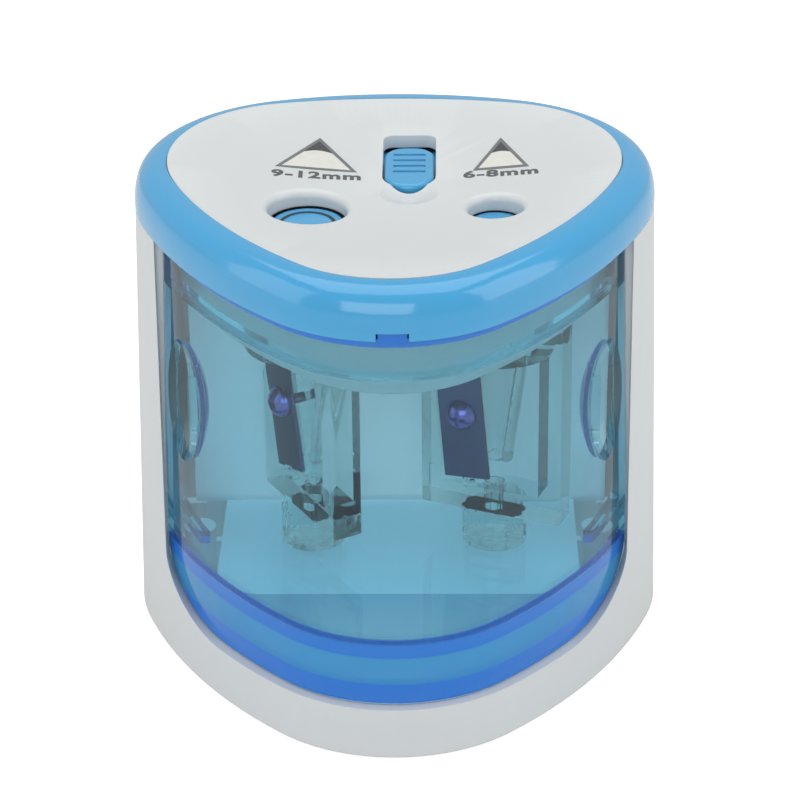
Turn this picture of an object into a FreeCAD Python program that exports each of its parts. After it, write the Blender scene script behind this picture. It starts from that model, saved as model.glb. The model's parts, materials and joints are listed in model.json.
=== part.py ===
import FreeCAD, Part
import math
import os
import re
import Sketcher

# Battery pencil sharpener with two cutters.
# Frame: millimetres, +Z up, -Y towards the drawer, origin on the table under the middle of the body.

DIMENSIONS = {
    # body outline at the seam under the collar: tangent arcs in a rounded triangle
    "body_width": 88.0,
    "front_reach": 43.05,
    "back_radius": 80.03,
    "corner_radius": 30.46,
    "side_radius": 88.54,
    "front_radius": 26.77,
    "taper": 1.84,
    "seam_level": 76.7,
    "shell_wall": 2.0,
    "shell_foot": 0.4,
    "opening_back": -5.0,
    "opening_sill": 9.5,
    "sill_corner": 10.0,
    # collar and top plate
    "collar_top": 84.4,
    "collar_width": 5.54,
    "top_tilt": 0.9,
    "dish_radius": 333.0,
    "dish_level": 82.26,
    "dish_centre": 5.83,
    "plate_thick": 2.3,
    "fit_gap": 0.15,
    # pencil holes
    "large_x": -14.2,
    "small_x": 16.9,
    "hole_y": -5.7,
    "large_bore": 6.6,
    "small_bore": 4.6,
    "rim_round": 1.3,
    # slider
    "slider_x": 2.5,
    "window_width": 9.0,
    "window_front": 3.0,
    "window_rear": 23.5,
    "slider_travel": 4.0,
    # drawer
    "drawer_inset": 1.5,
    "drawer_wall": 1.9,
    "drawer_top": 76.5,
    "drawer_floor": 18.0,
    "floor_thick": 1.6,
    "drawer_depth": 9.0,
    "bin_width": 77.2,
    # battery box and chassis
    "platform_top": 17.6,
    "platform_left": -30.2,
    "platform_right": 31.0,
    "platform_front": -21.5,
    "platform_back": 34.8,
    "bay_front": -17.2,
    "hinge_y": 33.0,
    "cell_radius": 7.2,
    "cell_front": -15.3,
    "cell_rear": 32.0,
    "cell_level": 9.2,
    "bulkhead_y": 10.2,
    "panel": 1.2,
    # deck
    "deck_level": 64.0,
    "deck_thick": 1.2,
    "skirt_inset": 7.1,
    "deck_rim": 76.0,
    # gears
    "gear_module": 0.8,
    "cutter_teeth": 28.0,
    "second_small_teeth": 14.0,
    "second_large_teeth": 20.0,
    "first_small_teeth": 10.0,
    "first_large_teeth": 36.0,
    "pinion_teeth": 10.0,
    "low_level": 65.5,
    "low_face": 3.1,
    "mid_level": 69.0,
    "mid_face": 3.5,
    "high_level": 73.0,
    "high_face": 2.7,
    "middle_x": 1.35,
    "second_y": 0.6591,
    "first_y": 12.6591,
    "motor_x": -12.65,
    "motor_y": 24.5989,
    # motor
    "motor_radius": 12.0,
    "motor_bottom": 24.0,
    "motor_top": 64.0,
    "motor_shaft": 1.0,
    # drawer interlock
    "plunger_radius": 0.7,
    "plunger_x": 14.0,
    "plunger_level": 18.8,
    # cutters
    "carrier_width": 25.0,
    "carrier_thick": 5.5,
    "carrier_bottom": 26.3,
    "carrier_top": 63.0,
    "large_spigot": 8.4,
    "small_spigot": 6.4,
    "tip_boss": 5.4,
    "boss_bottom": 20.3,
    "large_turn": -60.0,
    "small_turn": -22.0,
}

doc = FreeCAD.newDocument("PencilSharpener")
sheet = doc.addObject("Spreadsheet::Sheet", "Dims")
for row, (alias, value) in enumerate(DIMENSIONS.items(), start=1):
    sheet.set("A%d" % row, alias)
    sheet.set("B%d" % row, str(value))
    sheet.setAlias("B%d" % row, alias)
doc.recompute()

PIECES = {}


def value(alias):
    """Number kept in the sheet under this alias."""
    return float(sheet.get(alias))


def bind(thing, path, formula):
    """Ties a property to the sheet: words in the formula are aliases, numbers stay as they are."""
    if isinstance(formula, (int, float)):
        formula = "%.6f" % formula
    thing.setExpression(path, re.sub(r"([a-z_][a-z_0-9]*)", r"Dims.\1", formula))


def place(thing, x, y, z, turn=0, axis=(0, 0, 1)):
    """Puts an object at x, y, z and turns it by an angle in degrees about an axis through its origin."""
    thing.Placement = FreeCAD.Placement(FreeCAD.Vector(), FreeCAD.Rotation(FreeCAD.Vector(*axis), turn))
    bind(thing, "Placement.Base.x", x)
    bind(thing, "Placement.Base.y", y)
    bind(thing, "Placement.Base.z", z)
    return thing


def box(length, width, height, x, y, z, turn=0, axis=(0, 0, 1)):
    """Box from its lowest corner."""
    solid = doc.addObject("Part::Box", "Box")
    bind(solid, "Length", length)
    bind(solid, "Width", width)
    bind(solid, "Height", height)
    return place(solid, x, y, z, turn, axis)


def centred_box(length, width, height, x, y, z):
    """Box centred on x and y, standing on z."""
    return box(length, width, height, "(%s) - (%s) / 2" % (x, length), "(%s) - (%s) / 2" % (y, width), z)


ALONG = {"z": (0, (0, 0, 1)), "y": (-90, (1, 0, 0)), "x": (90, (0, 1, 0))}


def cylinder(radius, height, x, y, z, along="z"):
    """Cylinder from the middle of its lower end, along +X, +Y or +Z."""
    solid = doc.addObject("Part::Cylinder", "Cylinder")
    bind(solid, "Radius", radius)
    bind(solid, "Height", height)
    turn, axis = ALONG[along]
    return place(solid, x, y, z, turn, axis)


def cone(radius_low, radius_high, height, x, y, z):
    solid = doc.addObject("Part::Cone", "Cone")
    bind(solid, "Radius1", radius_low)
    bind(solid, "Radius2", radius_high)
    bind(solid, "Height", height)
    return place(solid, x, y, z)


def ball(radius, x, y, z):
    solid = doc.addObject("Part::Sphere", "Ball")
    bind(solid, "Radius", radius)
    return place(solid, x, y, z)


def fuse(*solids):
    if len(solids) == 1:
        return solids[0]
    joined = doc.addObject("Part::MultiFuse", "Fuse")
    joined.Shapes = list(solids)
    joined.Refine = True
    return joined


def group(*solids):
    """Separate solids of one node, such as a set of screws."""
    bundle = doc.addObject("Part::Compound", "Group")
    bundle.Links = list(solids)
    return bundle


def cut(base, *tools):
    removed = doc.addObject("Part::Cut", "Cut")
    removed.Base = base
    removed.Tool = fuse(*tools)
    removed.Refine = True
    return removed


def common(*solids):
    shared = doc.addObject("Part::MultiCommon", "Common")
    shared.Shapes = list(solids)
    return shared


def rounded(solid, radius, picks):
    """Fillets the edges that picks(edge) chooses."""
    doc.recompute()
    chosen = [n for n, edge in enumerate(solid.Shape.Edges, start=1) if picks(edge)]
    fillet = doc.addObject("Part::Fillet", "Fillet")
    fillet.Base = solid
    fillet.Edges = [(n, radius, radius) for n in chosen]
    return fillet


def upright(edge):
    """True for a straight edge along Z."""
    return edge.BoundBox.ZLength > 0.5 and edge.BoundBox.XLength + edge.BoundBox.YLength < 1e-3


def piece(label, thing):
    """Names a finished sub-part."""
    thing.Label = label
    PIECES[label] = thing
    return thing


def outline_arcs(offset):
    """Centre, radius and end angles of the six tangent arcs, anticlockwise from the back."""
    half = value("body_width") / 2
    back = value("back_radius")
    corner = value("corner_radius")
    side = value("side_radius")
    front = value("front_radius")
    reach = value("front_reach")
    back_y = reach - back
    widest_y = math.sqrt((back - corner) ** 2 - (half - corner) ** 2) + back_y
    corner_x = half - corner
    front_y = front - reach
    # side centre: side - corner away from the corner centre, side - front away from the front centre
    gap = math.hypot(corner_x, widest_y - front_y)
    reach_corner = side - corner
    reach_front = side - front
    along = (reach_corner ** 2 - reach_front ** 2 + gap ** 2) / (2 * gap)
    across = math.sqrt(reach_corner ** 2 - along ** 2)
    ux = -corner_x / gap
    uy = (front_y - widest_y) / gap
    side_x = corner_x + along * ux + across * uy
    side_y = widest_y + along * uy - across * ux
    meet_back = math.atan2(widest_y - back_y, corner_x)
    meet_side = math.atan2(widest_y - side_y, corner_x - side_x)
    meet_front = math.atan2(front_y - side_y, -side_x)
    pi = math.pi
    return [
        (0, back_y, back + offset, meet_back, pi - meet_back),
        (-corner_x, widest_y, corner + offset, pi - meet_back, pi - meet_side),
        (-side_x, side_y, side + offset, pi - meet_side, pi - meet_front),
        (0, front_y, front + offset, pi - meet_front, 2 * pi + meet_front),
        (side_x, side_y, side + offset, meet_front, meet_side),
        (corner_x, widest_y, corner + offset, meet_side, meet_back),
    ]


def amount(formula):
    """Number that a formula of aliases comes to."""
    meter = doc.addObject("App::FeaturePython", "Meter")
    meter.addProperty("App::PropertyFloat", "Amount")
    bind(meter, "Amount", formula)
    doc.recompute()
    reading = meter.Amount
    doc.removeObject(meter.Name)
    return reading


def outline(offset, level, tilt=0):
    """Sketch of the body outline moved outwards by offset, at a level, tilted about X."""
    sketch = doc.addObject("Sketcher::SketchObject", "Outline")
    arcs = outline_arcs(amount(offset))
    up = FreeCAD.Vector(0, 0, 1)
    for x, y, radius, start, end in arcs:
        if end < start:
            end += 2 * math.pi
        circle = Part.Circle(FreeCAD.Vector(x, y, 0), up, radius)
        sketch.addGeometry(Part.ArcOfCircle(circle, start, end), False)
    for number in range(len(arcs)):
        after = (number + 1) % len(arcs)
        sketch.addConstraint(Sketcher.Constraint("Tangent", number, 2, after, 1))
    for number in range(len(arcs)):
        sketch.addConstraint(Sketcher.Constraint("Block", number))
    return place(sketch, 0, 0, level, tilt, (1, 0, 0))


def loft(*sketches, ruled=True):
    solid = doc.addObject("Part::Loft", "Loft")
    solid.Sections = list(sketches)
    solid.Solid = True
    solid.Ruled = ruled
    return solid


def extrude(sketch, height):
    solid = doc.addObject("Part::Extrusion", "Extrusion")
    solid.Base = sketch
    solid.DirMode = "Custom"
    solid.Dir = FreeCAD.Vector(0, 0, 1)
    solid.Solid = True
    bind(solid, "LengthFwd", height)
    return solid


def tapered(inset, low, high):
    """Solid inside the tapered body surface, inset inwards, between two levels."""
    at = "taper * (1 - (%s) / seam_level) - (%s)"
    return loft(outline(at % (low, inset), low), outline(at % (high, inset), high))


def slab(offset, low, height):
    return extrude(outline(offset, low), height)


def opening(inset, low, side_gap):
    """Front opening of the body as a solid: rounded lower corners, open upwards."""
    width = "2 * (39.7 - (%s))" % side_gap
    front = centred_box(width, 50, 80, 0, "opening_back - 25 - (%s)" % inset, low)
    return rounded(front, value("sill_corner"), lower_side)


def lower_side(edge):
    """True for an edge along Y at the bottom of a box."""
    spans = edge.BoundBox
    return spans.YLength > 1 and spans.XLength + spans.ZLength < 1e-3 and spans.ZMin < 30


def pencil_bores(extra, low, height):
    """Two cylinders through both pencil holes, wider than the bores by extra."""
    large = cylinder("large_bore + (%s)" % extra, height, "large_x", "hole_y", low)
    small = cylinder("small_bore + (%s)" % extra, height, "small_x", "hole_y", low)
    return large, small


def outer_shell():
    """White wrap-around body: walls, a base band under the drawer, screw pillars in the back corners."""
    outside = tapered(0, "shell_foot", "seam_level")
    inside = tapered("shell_wall", "shell_foot - 1", "seam_level + 1")
    wall = cut(outside, inside, opening(0, "opening_sill", 0))
    return piece("outer_shell", wall)


def base_plate():
    """Floor of the body with the battery bay cut out of it and pockets for the feet."""
    floor = loft(outline("taper - shell_wall - 0.1", 0.6), outline("taper - shell_wall - 0.1", 2.0))
    bay_length = "platform_right - platform_left - 2 * panel + 0.3"
    bay_width = "platform_back - panel - bay_front + 0.3"
    bay = box(bay_length, bay_width, 6,
              "platform_left + panel - 0.15", "bay_front - 0.15", -1)
    feet = [cylinder(4.2, 1, x, y, 0.2) for x, y in FEET]
    drilled = [cylinder(1.3, 6, x, y, -1) for x, y in BASE_SCREWS]
    sunk = [cylinder(2.6, 1.35, x, y, 0) for x, y in BASE_SCREWS]
    return piece("base_plate", cut(floor, bay, *feet, *drilled, *sunk))


FEET = ((-34.2, 16.0), (34.9, 16.0), (-13.0, -33.5), (13.0, -33.5))
BASE_SCREWS = ((-34.5, 5.0), (34.9, 5.0), (-32.7, 24.5), (33.5, 24.5))
DECK_SCREWS = ((-28.0, 14.0), (28.8, 14.0))


def rubber_feet():
    feet = [cylinder(4.0, 1.1, x, y, 0) for x, y in FEET]
    return piece("rubber_feet", group(*feet))


def base_screws():
    """Screws that hold the base plate to the chassis pillars, heads sunk in the plate."""
    screws = []
    for x, y in BASE_SCREWS:
        head = cylinder(2.4, 0.7, x, y, 0.65)
        shank = cylinder(1.2, 6.0, x, y, 1.3)
        cross = cross_recess(x, y, 0.5, 0.5)
        screws.append(cut(fuse(head, shank), cross))
    return piece("base_screws", group(*screws))


def cross_recess(x, y, low, depth):
    """Cross-shaped driver recess for a screw that points along Z."""
    return fuse(centred_box(2.6, 0.5, depth, x, y, low), centred_box(0.5, 2.6, depth, x, y, low))


def battery_door():
    """Door under the batteries, with ribs for grip, hook tongues at the back and a snap lip in front."""
    left = "platform_left + panel + 0.1"
    width = "platform_right - platform_left - 2 * panel - 0.2"
    leaf = box(width, "hinge_y - bay_front - 0.1", 1.0, left, "bay_front + 0.1", 0.7)
    hinge = cylinder(0.5, width, left, "hinge_y", 1.2, "x")
    finger = centred_box(14, 3.2, 3, 0.4, "bay_front + 0.9", 1.2)
    grips = [centred_box(16, 0.9, 1, 0.4, "bay_front + %s" % (6.0 + 2.0 * n), 0.1) for n in range(5)]
    return piece("battery_door", cut(fuse(leaf, hinge), finger, *grips))


def inner_chassis():
    """White inner frame: battery box, chamber back wall, motor cradle and pillars up to the deck."""
    width = "platform_right - platform_left"
    depth = "platform_back - platform_front"
    block = box(width, depth, "platform_top - 2.1", "platform_left", "platform_front", 2.1)
    block = rounded(rounded(block, 8.0, front_upright), 3.5, back_upright)
    hollow = box("platform_right - platform_left - 2 * panel", "platform_back - panel - bay_front",
                 "platform_top - panel", "platform_left + panel", "bay_front", 0)
    wall_height = "deck_level - platform_top + 0.3"
    wall = centred_box(72, "panel", wall_height, 0.4, "bulkhead_y + panel / 2", "platform_top - 0.3")
    plunger_hole = cylinder("plunger_radius + fit_gap / 3", 6, "plunger_x", 8, "plunger_level", "y")
    ribs = [centred_box(1.2, 3.6, "deck_level - 24", x, "bulkhead_y + 2.8", 24) for x in (-33.0, 33.8)]
    rim = cylinder("motor_radius + 1.4", 9.6, "motor_x", "motor_y", "platform_top - 0.2")
    socket = cylinder("motor_radius + 0.1", 12, "motor_x", "motor_y", "motor_bottom")
    rim_bore = cylinder("motor_radius - 2", 12, "motor_x", "motor_y", "platform_top + 0.4")
    notch = box(5, 1.6, 2.0, "motor_x + 9.5", "motor_y - 0.8", "platform_top + 0.2")
    pillar_height = "deck_level - platform_top + 0.3"
    pillars = [cylinder(2.8, pillar_height, x, y, "platform_top - 0.3") for x, y in DECK_SCREWS]
    side_pillars = [cylinder(2.7, 13.6, x, y, 2.1) for x, y in BASE_SCREWS]
    web_corners = ((-34.0, 4.2), (30.0, 4.2), (-33.0, 23.7), (30.0, 23.7))
    webs = [box(5.0, 1.6, 10.0, x, y, 3.0) for x, y in web_corners]
    bores = [cylinder(1.2, 8, x, y, 1.9) for x, y in BASE_SCREWS]
    top_bores = [cylinder(1.1, 8, x, y, "deck_level - 7") for x, y in DECK_SCREWS]
    body = cut(fuse(block, wall, rim, *ribs, *pillars, *side_pillars, *webs),
               hollow, plunger_hole, socket, rim_bore, notch, *bores, *top_bores)
    return piece("inner_chassis", body)


def front_upright(edge):
    return upright(edge) and edge.BoundBox.YMax < 0


def back_upright(edge):
    return upright(edge) and edge.BoundBox.YMin > 30 and abs(edge.BoundBox.XMin) > 30


def gear_deck():
    """Tray over the shavings chamber that carries the gears; its skirt shows behind the drawer."""
    tray = slab("-skirt_inset", "deck_level", "deck_rim - deck_level")
    hollow = slab("-skirt_inset - 1.1", "deck_level + deck_thick", 20)
    rim = slab("-3.9", "deck_rim - 1.2", 1.2)
    feet = [cylinder(3.4, "deck_thick", x, y, "deck_level") for x, y in DECK_SCREWS]
    large = cylinder("large_spigot + fit_gap / 3", 8, "large_x", "hole_y", "deck_level - 3")
    small = cylinder("small_spigot + fit_gap / 3", 8, "small_x", "hole_y", "deck_level - 3")
    post_foot = "deck_level + deck_thick - 0.4"
    posts = [cylinder(3.0, 0.6, "middle_x", y, post_foot) for y in ("second_y", "first_y")]
    shafts = [cylinder(1.5, 4, "middle_x", y, "deck_level - 1") for y in ("second_y", "first_y")]
    motor_boss = cylinder(3.1, 4, "motor_x", "motor_y", "deck_level - 1")
    screws = [cylinder(1.2, 4, x, y, "deck_level - 1") for x, y in MOTOR_SCREWS]
    drilled = [cylinder(1.3, 4, x, y, "deck_level - 1") for x, y in DECK_SCREWS]
    whole = cut(fuse(tray, rim, *feet), hollow)
    return piece("gear_deck", cut(fuse(whole, *posts), large, small, motor_boss, *shafts, *screws, *drilled))


MOTOR_SCREWS = (("motor_x - 8", "motor_y"), ("motor_x + 8", "motor_y"))


def deck_screws():
    screws = []
    for x, y in DECK_SCREWS:
        head = cylinder(2.3, 1.4, x, y, "deck_level + deck_thick")
        shank = cylinder(1.1, "6.4 + deck_thick", x, y, "deck_level - 6.4")
        cross = cross_recess(x, y, "deck_level + deck_thick + 0.8", 0.7)
        screws.append(cut(fuse(head, shank), cross))
    return piece("deck_screws", group(*screws))


def gear_cover():
    """Blue lid over the gears, with sleeves that guide the pencils down to the cutters."""
    lid = slab("-skirt_inset - 0.5", "deck_rim", 1.0)
    sleeves = pencil_bores(1.1, "deck_rim - 7.2", 7.4)
    bores = pencil_bores(0.1, "deck_rim - 9", 20)
    shaft = cylinder(1.5, 4, "middle_x", "first_y", "deck_rim - 1")
    pivot = cylinder(1.2, 4, "middle_x", "hole_y", "deck_rim - 1")
    return piece("gear_cover", cut(fuse(lid, *sleeves), *bores, shaft, pivot))


def dish(extra):
    """Large ball whose lowest point shapes the dished top."""
    return ball("dish_radius + (%s)" % extra, 0, "dish_centre", "dish_level + dish_radius")


SHOULDER = ((0.0, 0.0), (0.05, 0.33), (0.4, 0.58), (1.1, 0.78), (2.3, 0.92), (3.9, 0.99), (5.1, 1.0))


def top_collar():
    """Glossy blue ring with a rounded shoulder; the top plate drops into its step."""
    rise = "(collar_top - seam_level)"
    rings = []
    for inset, share in SHOULDER:
        level = "seam_level + %s * %s" % (rise, share)
        rings.append(outline("-%s" % inset, level, value("top_tilt") * -share))
    dome = loft(*rings, ruled=False)
    hole = slab("-collar_width - 1.8", "seam_level - 1", 20)
    under_plate = cut(slab("2.0", "seam_level - 2", 25), dish("plate_thick"))
    seat = cut(slab("-collar_width", "seam_level + 1", 20), under_plate)
    latch = centred_box(5.2, 6, 2.4, 0.3, "-front_reach + 1", "seam_level - 1")
    skirt_gap = cut(slab("-1.4", "seam_level - 1", 2.6), slab("-3.2", "seam_level - 2", 8))
    rear = centred_box(100, 60, 30, 0, "opening_back + 30.0", "seam_level - 10")
    return piece("top_collar", cut(dome, hole, seat, latch, cut(skirt_gap, rear)))


def top_plate():
    """Dished white plate with two countersunk pencil holes and the slider window."""
    blank = cut(common(slab("-collar_width - 0.12", "seam_level", 14), dish("plate_thick")), dish(0))
    blank = fuse(blank, *pencil_bores(1.2, "deck_rim + 3.85", 2.7))
    large, small = pencil_bores(0, "seam_level", 14)
    window = window_solid(0, "seam_level", 14)
    plate = cut(blank, large, small, window)
    rimmed = rounded(plate, value("rim_round"), hole_edge)
    scoop = ball(8.0, "slider_x", "window_front - 2.3", "dish_level + 6.5")
    return piece("top_plate", cut(rimmed, scoop))


def window_solid(grow, low, height):
    """Slider window: round in front, nearly square at the back."""
    width = "window_width + 2 * (%s)" % grow
    radius = "(%s) / 2" % width
    length = "window_rear - window_front - (%s) + (%s)" % (radius, grow)
    front = cylinder(radius, height, "slider_x", "window_front + window_width / 2", low)
    back = box(width, length, height, "slider_x - (%s)" % radius, "window_front + window_width / 2", low)
    return fuse(front, rounded(back, 1.8, rear_upright))


def rear_upright(edge):
    return upright(edge) and edge.BoundBox.YMin > 15


def hole_edge(edge):
    """True for the upper rim of a pencil hole."""
    spans = edge.BoundBox
    round_rim = spans.XLength > 8.5 and abs(spans.XLength - spans.YLength) < 0.2
    return round_rim and spans.XLength < 14 and spans.ZMin > 81.6


PIN_REACH = 3.84
SWING = 55.0
TONGUE_LEAN = -14.0


def thumb_slider():
    """Blue thumb slider: ribbed button on a flange under the plate, and a drive pin on a slanted tongue."""
    under = "deck_rim + 2.75"
    flange = centred_box(14.0, 10.4, 0.9, "slider_x", 18.1, under)
    block = box("window_width - 0.6", "window_width / 2 + 11.3", 3.55,
                "slider_x - window_width / 2 + 0.3", "window_front + 5.2 - window_width / 2", under)
    round_nose = rounded(block, value("window_width") / 2 - 0.35, front_upright_slider)
    button = rounded(rounded(round_nose, 3.4, rear_upright_slider), 0.7, button_rim)
    ribs = [centred_box(5.4, 0.8, 1, "slider_x", "window_front + %s" % (6.4 + 2.3 * n), "deck_rim + 6.0")
            for n in range(4)]
    pin_x = "middle_x - %s" % PIN_REACH
    pin_y = "hole_y - slider_travel / 2"
    tongue = box(2.6, 14.6, 0.9, pin_x + " - 1.6", pin_y + " - 1.0", under, TONGUE_LEAN)
    pin = cylinder(0.7, 1.9, pin_x, pin_y, "deck_rim + 1.3")
    return piece("thumb_slider", fuse(cut(fuse(flange, button), *ribs), tongue, pin))


def rear_upright_slider(edge):
    return upright(edge) and edge.BoundBox.YMin > 12


def front_upright_slider(edge):
    return upright(edge) and edge.BoundBox.YMax < 12


def button_rim(edge):
    """True for the outer edges of the button's top."""
    return edge.BoundBox.ZMin > value("deck_rim") + 6.2


def safety_shutter():
    """Blue two-lobed shutter that covers both pencil holes until the slider opens it."""
    low = "deck_rim + 1.2"
    arm = centred_box("small_x - large_x", 7.0, 1.2, "(small_x + large_x) / 2", "hole_y", low)
    large = cylinder("large_bore + 0.8", 1.2, "large_x", "hole_y", low)
    small = cylinder("small_bore + 1.0", 1.2, "small_x", "hole_y", low)
    hub = cylinder(6.2, 1.2, "middle_x", "hole_y", low)
    large_pad = cylinder("large_bore - 0.6", 2.0, "large_x", "hole_y", "deck_rim + 1.7")
    small_pad = cylinder("small_bore - 0.3", 2.0, "small_x", "hole_y", "deck_rim + 1.7")
    slot = box(2.9, 1.7, 3, 0, 0, 0, 180 + SWING / 2)
    slot_shift(slot)
    bore = cylinder(1.25, 4, "middle_x", "hole_y", "deck_rim")
    return piece("safety_shutter", cut(fuse(arm, large, small, hub, large_pad, small_pad), slot, bore))


def slot_shift(slot):
    """Centres the slot on the line from the pivot to the pin, with the slider at rest."""
    angle = math.radians(180 + SWING / 2)
    start = 2.75
    half = 0.85
    bind(slot, "Placement.Base.x", "middle_x + %.6f" % (start * math.cos(angle) + half * math.sin(angle)))
    bind(slot, "Placement.Base.y", "hole_y + %.6f" % (start * math.sin(angle) - half * math.cos(angle)))
    bind(slot, "Placement.Base.z", "deck_rim")


def shutter_pivot_screw():
    head = cylinder(1.7, 0.8, "middle_x", "hole_y", "deck_rim + 2.5")
    shank = cylinder(1.2, 2.2, "middle_x", "hole_y", "deck_rim + 0.4")
    cross = cross_recess("middle_x", "hole_y", "deck_rim + 2.9", 0.6)
    return piece("shutter_pivot_screw", cut(fuse(head, shank), cross))


def shavings_drawer():
    """Clear blue drawer: curved front, bin floor, finger recesses with ridges, latch tab and rim rib."""
    face = cut(tapered("drawer_inset", "opening_sill + 0.4", "drawer_top"),
               tapered("drawer_inset + drawer_wall", "opening_sill - 1", "drawer_top + 1"))
    front_half = opening(0.35, "opening_sill + 0.4", 0.35)
    face = common(face, front_half)
    floor_mask = centred_box("bin_width", 60, 20, 0, "drawer_depth - 30", 10)
    floor_outline = "taper * (1 - drawer_floor / seam_level) - drawer_inset - 0.6"
    slab_front = common(slab(floor_outline, "drawer_floor", "floor_thick"), front_half)
    slab_rear = common(slab("-shell_wall - 1.6", "drawer_floor", "floor_thick"), floor_mask)
    lip = common(cut(slab("-5.3", "drawer_floor", 4.0), slab("-6.7", "drawer_floor", 9)),
                 centred_box("bin_width", 16, 20, 0, 1.0, 10))
    tab = centred_box(4.6, 2.9, 2.1, 0.3, "-front_reach + 1.95", "drawer_top - 0.6")
    rib = common(cut(slab("-3.0", 68.2, 1.6), slab("-4.6", 60, 20)), front_half)
    shell = fuse(face, slab_front, slab_rear, lip, tab, rib)
    pockets = [recess(side) for side in (-1, 1)]
    ridges = [ridge(side, n) for side in (-1, 1) for n in range(3)]
    dimples = [recess_cut(side) for side in (-1, 1)]
    return piece("shavings_drawer", fuse(cut(fuse(shell, *pockets), *dimples), *ridges))


RECESS_LEVEL = 50.5
RECESS_Y = -14.0


def egg(radius, side, inwards, stretch):
    """Upright ellipsoid on the side of the drawer."""
    solid = doc.addObject("Part::Ellipsoid", "Egg")
    solid.Radius1 = stretch
    solid.Radius2 = radius
    solid.Radius3 = radius
    solid.Angle1 = -90
    solid.Angle2 = 90
    x = side * (38.6 - inwards)
    return place(solid, x, RECESS_Y, RECESS_LEVEL)


def recess(side):
    """Shell of the finger recess, bulging into the bin."""
    inner_only = tapered("drawer_inset + 0.4", 20, "drawer_top")
    return common(egg(8.2, side, 0, 14.2), inner_only)


def recess_cut(side):
    """Hollow of the finger recess."""
    return egg(6.9, side, 0, 12.9)


def ridge(side, number):
    """One of three upright grip ridges in a recess."""
    y = RECESS_Y - 2.4 + 2.4 * number
    x = side * 32.9
    reach = 15.0 - 2.5 * abs(number - 1)
    return centred_box(2.6, 0.9, reach, x, y, RECESS_LEVEL - reach / 2)


BACKLASH = 0.14


def tooth_points(teeth):
    """Radii and half-angles of one tooth flank: root, middle and tip, on a 25 degree involute."""
    module = value("gear_module")
    pitch = module * teeth / 2
    base = pitch * math.cos(math.radians(25.0))
    root = pitch - 1.05 * module
    tip = pitch + 0.8 * module
    half_at_pitch = (math.pi / 2 - BACKLASH / module) / teeth
    unwound = math.tan(math.acos(base / pitch)) - math.acos(base / pitch)

    def half_angle(radius):
        rolled = math.acos(min(1.0, base / radius))
        return half_at_pitch + unwound - (math.tan(rolled) - rolled)
    start = max(root, base)
    middle = (start + tip) / 2
    return root, start, middle, tip, half_angle(start), half_angle(middle), half_angle(tip)


def polar(radius, angle):
    return FreeCAD.Vector(radius * math.cos(angle), radius * math.sin(angle), 0)


def add_gear_teeth(sketch, teeth):
    """Draws a closed toothed outline: flanks as arcs through involute points, round tips and roots."""
    root, start, middle, tip, half_start, half_middle, half_tip = tooth_points(teeth)
    step = 2 * math.pi / teeth
    for number in range(int(teeth)):
        at = number * step
        leading = [polar(root, at - half_start), polar(start, at - half_start),
                   polar(middle, at - half_middle), polar(tip, at - half_tip)]
        trailing = [polar(tip, at + half_tip), polar(middle, at + half_middle),
                    polar(start, at + half_start), polar(root, at + half_start)]
        if start > root + 1e-4:
            sketch.addGeometry(Part.LineSegment(leading[0], leading[1]), False)
            sketch.addGeometry(Part.LineSegment(trailing[2], trailing[3]), False)
        sketch.addGeometry(Part.Arc(leading[1], leading[2], leading[3]), False)
        sketch.addGeometry(Part.Arc(leading[3], polar(tip, at), trailing[0]), False)
        sketch.addGeometry(Part.Arc(trailing[0], trailing[1], trailing[2]), False)
        next_foot = polar(root, at + step - half_start)
        sketch.addGeometry(Part.Arc(trailing[3], polar(root, at + step / 2), next_foot), False)


def plane_of(body, role):
    return next(f for f in body.Origin.OriginFeatures if f.Role == role)


def gear(label, wheels, bore, x, y, turn):
    """Gear body; wheels lists (teeth or disc radius formula, low level, face width) on one axis."""
    body = doc.addObject("PartDesign::Body", "GearBody")
    up = FreeCAD.Vector(0, 0, 1)
    for rim, low, face in wheels:
        sketch = body.newObject("Sketcher::SketchObject", "WheelSketch")
        sketch.AttachmentSupport = [(plane_of(body, "XY_Plane"), "")]
        sketch.MapMode = "FlatFace"
        bind(sketch, "AttachmentOffset.Base.z", low)
        if isinstance(rim, str):
            circle = sketch.addGeometry(Part.Circle(FreeCAD.Vector(), up, 5), False)
            sketch.addConstraint(Sketcher.Constraint("Coincident", circle, 3, -1, 1))
            number = sketch.addConstraint(Sketcher.Constraint("Radius", circle, 5))
            bind(sketch, "Constraints[%d]" % number, rim)
        else:
            add_gear_teeth(sketch, rim)
        hole = sketch.addGeometry(Part.Circle(FreeCAD.Vector(), up, 1), False)
        sketch.addConstraint(Sketcher.Constraint("Coincident", hole, 3, -1, 1))
        number = sketch.addConstraint(Sketcher.Constraint("Radius", hole, 1))
        bind(sketch, "Constraints[%d]" % number, bore)
        pad = body.newObject("PartDesign::Pad", "WheelPad")
        pad.Profile = sketch
        bind(pad, "Length", face)
        doc.recompute()
    body.Tip = pad
    place(body, x, y, 0, turn)
    return piece(label, body)


def meshed_turn(driver_turn, driver_teeth, driven_teeth, driver_at, driven_at):
    """Turn of a driven gear that sets a gap against the driver's tooth, both given by their centres."""
    direction = math.degrees(math.atan2(driven_at[1] - driver_at[1], driven_at[0] - driver_at[0]))
    lead = (driver_turn - direction) % (360.0 / driver_teeth)
    return direction + 180.0 - lead * driver_teeth / driven_teeth + 180.0 / driven_teeth


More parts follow.
